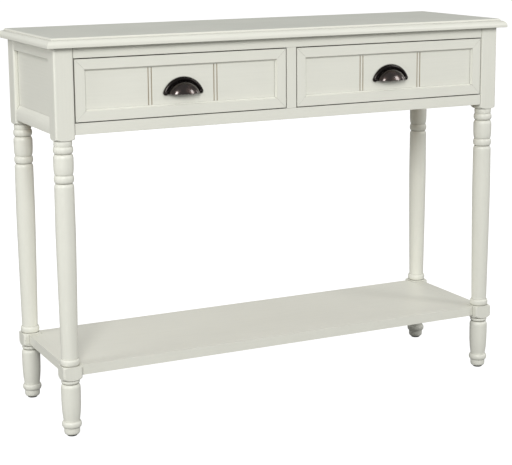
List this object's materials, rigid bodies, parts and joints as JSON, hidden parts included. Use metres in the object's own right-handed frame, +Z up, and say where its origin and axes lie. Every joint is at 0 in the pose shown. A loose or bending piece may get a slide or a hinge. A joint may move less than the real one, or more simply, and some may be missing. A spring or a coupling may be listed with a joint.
{
  "type": "console table",
  "caption": "Narrow painted console table with inset drawers on cup pulls, a moulded top, turned legs and a low shelf.",
  "frame": {"origin": "on the floor, under the centre of the top", "axes": "+X along the table's length to the right as seen from the front, the drawers face -Y, +Z up"},
  "size_m": [1.054, 0.338, 0.8],
  "materials": {
    "paint": "warm off-white satin paint on wood",
    "top_paint": "warm off-white satin paint on wood",
    "bare_wood": "planed, unpainted",
    "plywood": "thin plywood, unpainted",
    "pull": "dark oil-rubbed bronze lacquer, glossy",
    "steel": "zinc-plated screws",
    "glide": "black plastic"
  },
  "bodies": {
    "root": {"table_top": "top_paint", "leg_front_left": "paint", "leg_front_right": "paint", "leg_back_left": "paint", "leg_back_right": "paint", "foot_glides": "glide", "front_top_rail": "paint", "front_bottom_rail": "paint", "centre_stile": "paint", "back_apron": "paint", "side_top_rail_left": "paint", "side_top_rail_right": "paint", "side_panel_left": "paint", "side_panel_right": "paint", "side_bottom_rail_left": "paint", "side_bottom_rail_right": "paint", "runner_left": "bare_wood", "runner_centre": "bare_wood", "runner_right": "bare_wood", "guide_left": "bare_wood", "guide_centre": "bare_wood", "guide_right": "bare_wood", "kicker_left": "bare_wood", "kicker_centre": "bare_wood", "kicker_right": "bare_wood", "drawer_stops": "bare_wood", "top_screws": "steel", "shelf_panel": "paint", "shelf_rail_left": "paint", "shelf_rail_right": "paint", "shelf_dowels": "bare_wood"},
    "drawer_left": {"drawer_left_panel": "paint", "drawer_left_frame_top": "paint", "drawer_left_frame_bottom": "paint", "drawer_left_frame_outer": "paint", "drawer_left_frame_inner": "paint", "drawer_left_box_front": "bare_wood", "drawer_left_side_outer": "bare_wood", "drawer_left_side_inner": "bare_wood", "drawer_left_back": "bare_wood", "drawer_left_bottom": "plywood", "drawer_left_pull": "pull", "drawer_left_pull_screws": "steel", "drawer_left_front_screws": "steel"},
    "drawer_right": {"drawer_right_panel": "paint", "drawer_right_frame_top": "paint", "drawer_right_frame_bottom": "paint", "drawer_right_frame_outer": "paint", "drawer_right_frame_inner": "paint", "drawer_right_box_front": "bare_wood", "drawer_right_side_outer": "bare_wood", "drawer_right_side_inner": "bare_wood", "drawer_right_back": "bare_wood", "drawer_right_bottom": "plywood", "drawer_right_pull": "pull", "drawer_right_pull_screws": "steel", "drawer_right_front_screws": "steel"}
  },
  "joints": [
    {"name": "drawer_left_slide", "type": "slide", "parent": "root", "child": "drawer_left", "axis": [0, -1, 0], "range_m": [0, 0.2]},
    {"name": "drawer_right_slide", "type": "slide", "parent": "root", "child": "drawer_right", "axis": [0, -1, 0], "range_m": [0, 0.2]}
  ]
}
